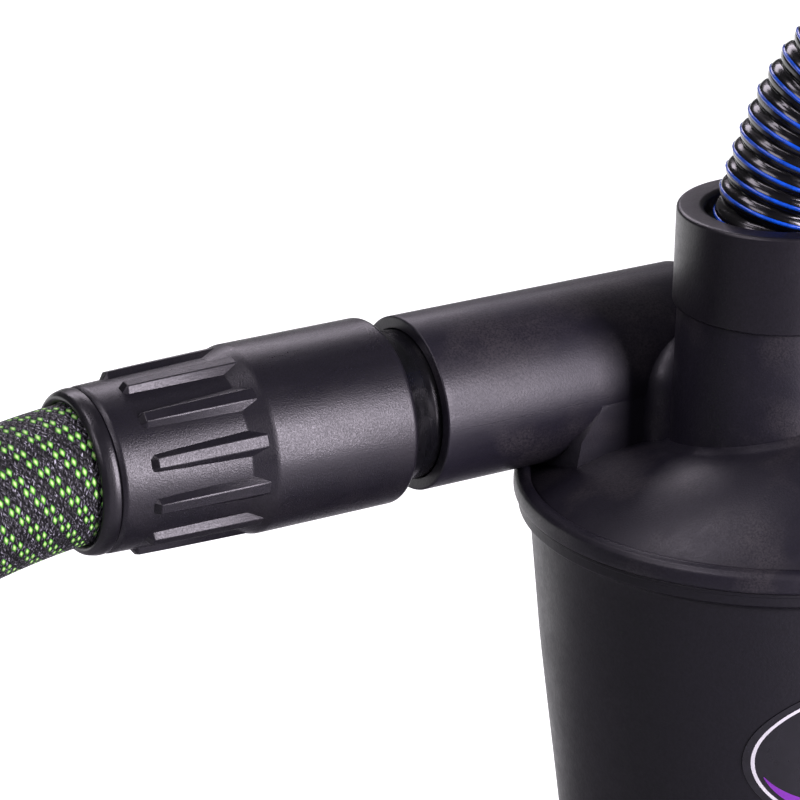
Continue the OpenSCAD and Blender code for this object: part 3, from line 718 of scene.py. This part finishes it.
def make_neck():
    """Glossy concave neck of the spigot, between sleeve and pipe mouth."""
    start, length, low, rise, crown = 2, 10.8, 24.9, 2.4, 0.5
    shares = [k / 10 for k in range(11)]
    waist = [(start + length * t, low + rise * t ** 2.2 + crown * math.sin(math.pi * t)) for t in shares]
    profile = [(-32, 21.6), (-32, 24.1), (-12.3, low), (-12.3, 23.0), (-7.7, 23.0), (-7.7, low)]
    profile += waist + [(12.9, 27.1), (29.5, 27.1), (29.5, 21.6)]
    return turned("cuff_neck", profile, INLET_AXIS, (-1, 0, 0), corner=0.3, segments=144)


def make_end_ring():
    """Bevelled ring that holds the hose in the cuff."""
    profile = [(115.6, 24.8), (115.6, 26.3), (116.0, 26.75), (117.6, 26.75), (120.2, 26.1),
               (121.3, 24.9), (121.3, 24.0), (120.4, 22.75), (116.6, 22.7), (116.6, 24.8)]
    return turned("cuff_ring", profile, INLET_AXIS, (-1, 0, 0), corner=0.7, segments=144)


cuff_shell = make_cuff_shell()
cuff_ribs = make_cuff_ribs()
neck = make_neck()
end_ring = make_end_ring()
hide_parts("cuff_sleeve", "cuff_grip")
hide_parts("cuff_spigot")
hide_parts("cuff_end_ring")
for piece, look, slot, body in (
    (cuff_shell, "cuff", "cuff_black", "hose_cuff"), (cuff_ribs, "cuff", "cuff_black", "hose_cuff"),
    (neck, "neck", "spigot_gloss", "hose_cuff"), (end_ring, "ring", "cuff_black", BASE),
):
    dress(piece, look)
    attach(piece, body)

# ------------------------------------------------------------------ top housing

# Heights over the rim joint and radii are in millimetres.
AXIS = (0, 0, RIM_Z)  # of rim, outlet and cone, in metres
ROOF_START, ROOF_TURN = 122.0, 330.0  # degrees
ROOF_PITCH, ROOF_LOW = 53.4, 13.0
ROOF_INNER_R, ROOF_OUTER_R = 33.0, 80.6
ROOF_FOOT = 4.6  # height of the roof's outer edge
ROOF_THICK = 3.0
ROOF_FLAT, ROOF_FLATTER, ROOF_FALL = 1.5, 1.3, 0.9  # crown at the low end, its gain a turn, edge's fall
ROOF_COVE, ROOF_COVE_REACH = 1.6, 0.9  # fillet at the outlet pipe
OUTLET_LOW, OUTLET_FOOT, OUTLET_TOP = 3, 10, 78  # heights of the outlet pipe
OUTLET_FOOT_R, OUTLET_TOP_R, OUTLET_BORE_R = 34.8, 32.9, 29.0


def roof_height(angle, share):
    """Height of the helical roof over the rim joint, a share of the way out from the outlet pipe."""
    turn = (angle - ROOF_START) / 360
    top = ROOF_LOW + (angle - ROOF_START) * ROOF_PITCH / 360
    return ROOF_FOOT + (top - ROOF_FOOT) * (1 - share ** (ROOF_FLAT + ROOF_FLATTER * turn)) ** ROOF_FALL


def make_roof():
    """Moulded helical roof: convex, rising once round, with a small cove at the outlet pipe."""
    turns, shares = 240, 40
    points, faces = [], []
    for i in range(turns + 1):
        angle = ROOF_START + ROOF_TURN * i / turns
        c, s = math.cos(math.radians(angle)), math.sin(math.radians(angle))
        for side in (0, 1):
            for j in range(shares + 1):
                share = math.sin(math.pi / 2 * j / shares)
                radius = ROOF_INNER_R + share * (ROOF_OUTER_R - ROOF_INNER_R)
                cove = ROOF_COVE * math.exp(-max(0, radius - OUTLET_FOOT_R) / ROOF_COVE_REACH)
                z = roof_height(angle, share) + cove - side * ROOF_THICK
                points.append((radius * MM * c, radius * MM * s, RIM_Z + z * MM))
    row = 2 * (shares + 1)
    for i in range(turns):
        for j in range(shares):
            a, b = i * row + j, (i + 1) * row + j
            faces.append((a, a + 1, b + 1, b))
            under, ahead = a + shares + 1, b + shares + 1
            faces.append((under + 1, under, ahead, ahead + 1))
        for j in (0, shares):
            a, b = i * row + j, (i + 1) * row + j
            faces.append((a, b, b + shares + 1, a + shares + 1))
    for i in (0, turns):
        for j in range(shares):
            a = i * row + j
            faces.append((a, a + 1, a + shares + 2, a + shares + 1))
    return mesh_piece("housing_roof", points, faces, sharp_deg=50)


def make_rim():
    """Rolled rim between cone body and roof."""
    profile = [(0, 77.6), (0, 85.2), (0.7, 86.05), (1.8, 86.3), (4, 86.25), (5.6, 85.9), (6.9, 84.9),
               (7.5, 83.2), (7.3, 81.7), (6.2, 80.8), (4.6, 80.5), (4.2, 79.6), (4.6, 77.6)]
    return turned("housing_rim", profile, AXIS, corner=0.5, segments=256)


def make_outlet_pipe():
    """Slightly tapered pipe up through the roof to the collar."""
    profile = [(OUTLET_LOW, OUTLET_BORE_R), (OUTLET_LOW, OUTLET_FOOT_R), (OUTLET_FOOT, OUTLET_FOOT_R),
               (OUTLET_TOP, OUTLET_TOP_R), (OUTLET_TOP, OUTLET_BORE_R)]
    return turned("housing_outlet", profile, AXIS, corner=0.6, segments=160)


def make_inlet_pipe():
    """Inlet pipe with a rounded mouth lip, run into the housing behind the outlet pipe."""
    length = 110.5
    profile = [(0, 25.2), (0, 28.7), (0.4, PIPE_R), (3, PIPE_R), (length, PIPE_R), (length, 25.0),
               (0.6, 25.0)]
    return turned("housing_inlet", profile, INLET_AXIS, (1, 0, 0), corner=0.35, segments=192)


WEB_TOP_STEPS, WEB_TOP_STEP = 8, 2.2  # levels over the pipe's middle
WEB_FADE = 17.7  # rise over the pipe's middle at which the cove ends
WEB_COVE_X, WEB_COVE_Y = 6, 8  # size of the cove where it is largest
WEB_SUNK, WEB_SUNK_OUTLET = 0.15, 0.3  # how far it runs into the two pipes
WEB_BACK = 1.5  # depth of its hidden edge inside the inlet pipe
WEB_OUTLET_TAPER = 1.9 / OUTLET_TOP
# Left end: its x over WEB_LEFT_Z, the furthest left it goes, and how fast it runs left below WEB_LEFT_Z.
WEB_LEFT, WEB_LEFT_MOST, WEB_LEFT_Z, WEB_LEFT_SLOPE = -49.3, -61, 32.3, 0.79


def make_web():
    """Upright wall from the pipe down to the low end of the roof, coved into the outlet pipe."""
    pipe_y, pipe_z = INLET_Y / MM, (INLET_Z - RIM_Z) / MM
    levels = [1.5, 10, 20, 28, pipe_z] + [pipe_z + WEB_TOP_STEP * k for k in range(1, WEB_TOP_STEPS + 1)]
    rows = []
    for z in levels:
        rise = max(0, z - pipe_z)
        near = pipe_y - math.sqrt(PIPE_R ** 2 - rise ** 2) + WEB_SUNK
        reach = OUTLET_FOOT_R - WEB_SUNK_OUTLET - WEB_OUTLET_TAPER * z
        fade = 1 - (rise / WEB_FADE) ** 2
        end_y = min(near - WEB_COVE_Y * fade, reach - 0.6)
        end_x = -math.sqrt(reach ** 2 - end_y ** 2)
        cove = arc((end_x - WEB_COVE_X * fade, near), (end_x, end_y), 0, steps=14)
        left = max(WEB_LEFT_MOST, WEB_LEFT - max(0, WEB_LEFT_Z - z) * WEB_LEFT_SLOPE)
        behind = pipe_y - math.sqrt(max(0, PIPE_R ** 2 - (pipe_z - z) ** 2)) + WEB_BACK
        row = [(left - 2, behind), (left, near)] + cove + [(end_x + 2.5, end_y), (-20, near + 3)]
        rows.append([(x * MM, y * MM, RIM_Z + z * MM) for x, y in row])
    count = len(rows[0])
    points = [point for row in rows for point in row]
    faces = grid_faces(len(rows), count)
    faces += [tuple(range(count)), tuple(len(points) - 1 - k for k in range(count))]
    return mesh_piece("housing_web", points, faces, sharp_deg=42)


def make_seam():
    """Faint parting ridge along the near side of the inlet pipe."""
    half, proud, sunk, drop = 0.3, 0.14, 0.5, 0.4 * MM
    x_low, x_high = MOUTH_X + 2 * MM, -49 * MM
    y = INLET_Y - PIPE_R * MM
    section = [(sunk, -half), (-proud, -half * 0.3), (-proud, half * 0.3), (sunk, half)]
    points = [(x, y + a * MM, INLET_Z - drop + b * MM) for x in (x_low, x_high) for a, b in section]
    faces = [(k, (k + 1) % 4, 4 + (k + 1) % 4, 4 + k) for k in range(4)] + [(3, 2, 1, 0), (4, 5, 6, 7)]
    return mesh_piece("housing_seam", points, faces, smooth=False)


roof = make_roof()
rim = make_rim()
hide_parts("helical_roof")
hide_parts("top_housing")
for piece in (roof, rim, make_outlet_pipe(), make_inlet_pipe(), make_web(), make_seam()):
    dress(piece, "housing")
    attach(piece, BASE)

# ------------------------------------------------------------------ cone body, collar and label

# Outside of the cone: (height over the rim joint, radius), in millimetres.
CONE = [(-235, 52.5), (-218, 55.0), (-200, 57.7), (-175, 61.2), (-146, 65.1), (-118.5, 68.9), (-95.7, 71.6),
        (-76.8, 73.9), (-59.8, 75.9), (-49.5, 77.0), (-34.5, 78.3), (-22, 79.4), (-12, 80.3)]
LABEL_TURN = math.radians(266)  # where the label's middle line is, from +X
LABEL_Z = -62.0
LABEL_HALF_W, LABEL_HALF_H = 45.8, 30.0
LABEL_FILM, LABEL_PRINT = 0.40, 0.46  # how far film and print stand off the cone
KEYLINE_INSET, KEYLINE_WIDTH = 2.2, 1.0
BAND_INSET, BAND_DEPTH, BAND_END = 4.6, 6.0, 0.2
BAND_START, BAND_STOP = math.radians(196), math.radians(344)
PATCH_BACK, STRIP_BACK = 0.02, 0.3  # how far the hidden sides stand off the cone
FUNNEL_HALF, FUNNEL_TAPER, FUNNEL_CONE = 11.0, 9.2, 1.35
FUNNEL_TOP, FUNNEL_TALL = 10.0, 20.0


def make_cone():
    """Tapered cyclone body with its banded rim, waist and bolted flange."""
    outer = CONE + [(-7.2, 80.9), (-5.9, 81.6), (-5.1, 83.9), (-4.4, 84.6), (-1.5, 84.6), (-1.3, 84.7),
                    (-1.2, 85.0), (-0.02, 85.0)]
    inner = [(-0.02, 77.6), (-5, 77.6), (-25, 76), (-49.5, 73.9), (-76.8, 70.9), (-118.5, 65.9), (-175, 58),
             (-235, 49.5), (-245, 48), (-250, 48), (-250, 76), (-244, 76), (-244, 57), (-242, 54)]
    return turned("cone_shell", outer + inner, AXIS, corner=1.1, segments=256)


def cone_radius(z):
    """Outside radius of the cone at a height over the rim joint."""
    return float(np.interp(z, [p[0] for p in CONE], [p[1] for p in CONE]))


def on_cone(across, z, proud):
    """Point of the label's surface: across is measured sideways from the label's middle line."""
    radius = cone_radius(z) + proud
    depth = math.sqrt(radius * radius - across * across)
    c, s = math.cos(LABEL_TURN), math.sin(LABEL_TURN)
    return ((depth * c - across * s) * MM, (depth * s + across * c) * MM, RIM_Z + z * MM)


def cone_patch(name, outer, inner, proud, rows):
    """Thin film between two outlines, each a function of a 0..1 turn giving (across, up) from the middle."""
    columns = 96
    points = []
    for level in (proud, PATCH_BACK):
        for i in range(rows + 1):
            for j in range(columns):
                (x0, z0), (x1, z1) = inner(j / columns), outer(j / columns)
                share = i / rows
                points.append(on_cone(x0 + (x1 - x0) * share, LABEL_Z + z0 + (z1 - z0) * share, level))
    faces = grid_faces(rows + 1, columns)
    under = (rows + 1) * columns
    faces += [tuple(under + k for k in reversed(f)) for f in grid_faces(rows + 1, columns)]
    for edge in (0, rows * columns):
        for j in range(columns):
            k = (j + 1) % columns
            faces.append((edge + j, edge + k, under + edge + k, under + edge + j))
    return mesh_piece(name, points, faces, sharp_deg=40)


def oval(width, height):
    """Outline of an oval with these half sizes, as a function of a 0..1 turn."""
    return lambda t: (width * math.cos(2 * math.pi * t), height * math.sin(2 * math.pi * t))


def make_label():
    """Oval sticker: dark film, white keyline, violet lower band, and a plain funnel sign."""
    film = cone_patch("label_film", oval(LABEL_HALF_W, LABEL_HALF_H), oval(0.3, 0.2), LABEL_FILM, rows=24)
    inner = KEYLINE_INSET + KEYLINE_WIDTH
    ring = cone_patch("label_ring", oval(LABEL_HALF_W - KEYLINE_INSET, LABEL_HALF_H - KEYLINE_INSET),
                      oval(LABEL_HALF_W - inner, LABEL_HALF_H - inner), LABEL_PRINT, rows=2)
    band = cone_strip("label_band", band_outline, LABEL_PRINT)
    sign = cone_strip("label_sign", funnel_outline, LABEL_PRINT)
    return [(film, "film"), (ring, "white"), (band, "violet"), (sign, "white")]


def there_and_back(t):
    """Share of the way along a strip, for a turn that runs there and back."""
    return t * 2 if t < 0.5 else 2 - t * 2


def band_outline(t):
    """Outer edge of the lower band, then back along its crescent edge."""
    there = there_and_back(t)
    a = BAND_START + (BAND_STOP - BAND_START) * there
    bite = 0.0 if t < 0.5 else BAND_END + BAND_DEPTH * math.sin(math.pi * there)
    return ((LABEL_HALF_W - BAND_INSET - bite) * math.cos(a),
            (LABEL_HALF_H - BAND_INSET - bite) * math.sin(a))


def funnel_outline(t):
    """Two upright sides of a funnel: wide mouth above, narrow spout below."""
    there = there_and_back(t)
    half = FUNNEL_HALF - FUNNEL_TAPER * min(1, there * FUNNEL_CONE)
    return (-half if t < 0.5 else half, FUNNEL_TOP - FUNNEL_TALL * there)


def cone_strip(name, outline, proud):
    """Thin film between the two long sides of an outline that runs there (t<0.5) and back (t>0.5)."""
    columns, rows = 64, 6
    points = []
    for level in (proud, STRIP_BACK):
        for j in range(columns + 1):
            t = 0.4999 * j / columns  # stops short of the turning point
            (x0, z0), (x1, z1) = outline(t), outline(1 - t - 1e-6)
            for i in range(rows + 1):
                share = i / rows
                points.append(on_cone(x0 + (x1 - x0) * share, LABEL_Z + z0 + (z1 - z0) * share, level))
    faces = grid_faces(columns + 1, rows + 1, closed_columns=False)
    under = (columns + 1) * (rows + 1)
    faces += [tuple(under + k for k in reversed(f))
              for f in grid_faces(columns + 1, rows + 1, closed_columns=False)]
    loop = ([j * (rows + 1) for j in range(columns + 1)]
            + [columns * (rows + 1) + i for i in range(1, rows + 1)]
            + [j * (rows + 1) + rows for j in range(columns - 1, -1, -1)]
            + list(range(rows - 1, 0, -1)))
    for a, b in zip(loop, loop[1:] + loop[:1]):
        faces.append((a, b, under + b, under + a))
    return mesh_piece(name, points, faces, sharp_deg=40)


def make_collar():
    """Outlet collar with a soft top edge and a chamfered bore."""
    top = (collar_high.z - RIM_Z) / MM
    low = (collar_low.z - RIM_Z) / MM
    profile = [(low, 33.3), (low + 0.1, 34.5), (low + 0.7, 34.9)]
    profile += [(top - 3.4, 34.45)] + arc((top - 1.3, 34.4), (top, 33.1), 0)
    profile += [(top - 0.2, 26.6), (top - 0.9, 25.4), (top - 5.6, 25.0), (top - 6.4, 22.7),
                (top - 20, 22.6), (top - 22, 23), (top - 22.1, 33.0)]
    return turned("outlet_collar_shell", profile, AXIS, corner=0.6, segments=160)


cone_shell = make_cone()
collar = make_collar()
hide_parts("cone_body")
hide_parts("outlet_collar")
label_pieces = make_label()
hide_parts("label_plate")
for piece, look, slot in (
    [(cone_shell, "body", "moulded_black"), (collar, "collar", "collar_black")]
    + [(piece, look, "label_film") for piece, look in label_pieces]
):
    dress(piece, look)
    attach(piece, BASE)

# ------------------------------------------------------------------ floor and light

FLOOR_HALF = 12.0  # metres from the middle to each side
FLOOR_COLOR, FLOOR_GLOW_COLOR = (0.42, 0.42, 0.44), (1, 0.99, 1, 1)
GLOW_TO_X, GLOW_TO_Y = 0.505, 0.863  # level direction in which the floor brightens
GLOW_FROM, GLOW_RISE, GLOW_MOST = 0.60, 3.5, 1.15  # metres out, share a metre, full strength
ROOM_LIGHT = 0.06
LAMP_COLOR = (0.96, 0.87, 1.0)


def make_stage():
    """Floor in a dim room: mid grey round the object, and glowing white behind it."""
    corners = [(-1, -1), (1, -1), (1, 1), (-1, 1)]
    floor = mesh_piece("floor", [(x * FLOOR_HALF, y * FLOOR_HALF, 0) for x, y in corners],
                       [(0, 1, 2, 3)], smooth=False)
    pale = Nodes("floor_white", FLOOR_COLOR, 0.6)
    pale.join(pale.noise(3, detail=2, low=0.55, high=0.65), pale.shader.inputs["Roughness"])
    pale.shader.inputs["Emission Color"].default_value = FLOOR_GLOW_COLOR
    split = pale.put("ShaderNodeSeparateXYZ")
    pale.join(pale.place(), split.inputs[0])
    behind = pale.math("ADD", pale.math("MULTIPLY", split.outputs[0], GLOW_TO_X),
                       pale.math("MULTIPLY", split.outputs[1], GLOW_TO_Y))
    glow = pale.math("MULTIPLY", pale.math("SUBTRACT", behind, GLOW_FROM), GLOW_RISE, clamp=True)
    pale.join(pale.math("MULTIPLY", glow, GLOW_MOST), pale.shader.inputs["Emission Strength"])
    floor.data.materials.append(pale.material)
    world = bpy.data.worlds.new("studio")
    world.use_nodes = True
    world.node_tree.nodes["Background"].inputs[0].default_value = (1, 1, 1, 1)
    world.node_tree.nodes["Background"].inputs[1].default_value = ROOM_LIGHT
    bpy.context.scene.world = world
    bpy.context.scene.view_settings.view_transform = "Standard"


def soft_light(name, place, aim, width, height, watts):
    """Rectangular lamp at a place, turned towards the aim."""
    data = bpy.data.lights.new(name, "AREA")
    data.shape = "RECTANGLE"
    data.size = width
    data.size_y = height
    data.energy = watts
    data.color = LAMP_COLOR
    lamp = link(bpy.data.objects.new(name, data))
    lamp.location = place
    lamp.rotation_euler = (Vector(aim) - Vector(place)).to_track_quat("-Z", "Y").to_euler()


make_stage()
AIM = (-0.08, 0.0, RIM_Z)
soft_light("key_front", (0.75, -2.2, 1.15), AIM, 0.7, 2.0, 98)
soft_light("fill_left", (-2.0, -0.6, 2.1), AIM, 1.2, 0.9, 18)
soft_light("over_roof", (-0.75, 0.30, 2.35), AIM, 0.6, 0.6, 8)
soft_light("top_back", (0.5, 2.2, 2.1), AIM, 1.8, 0.8, 22)
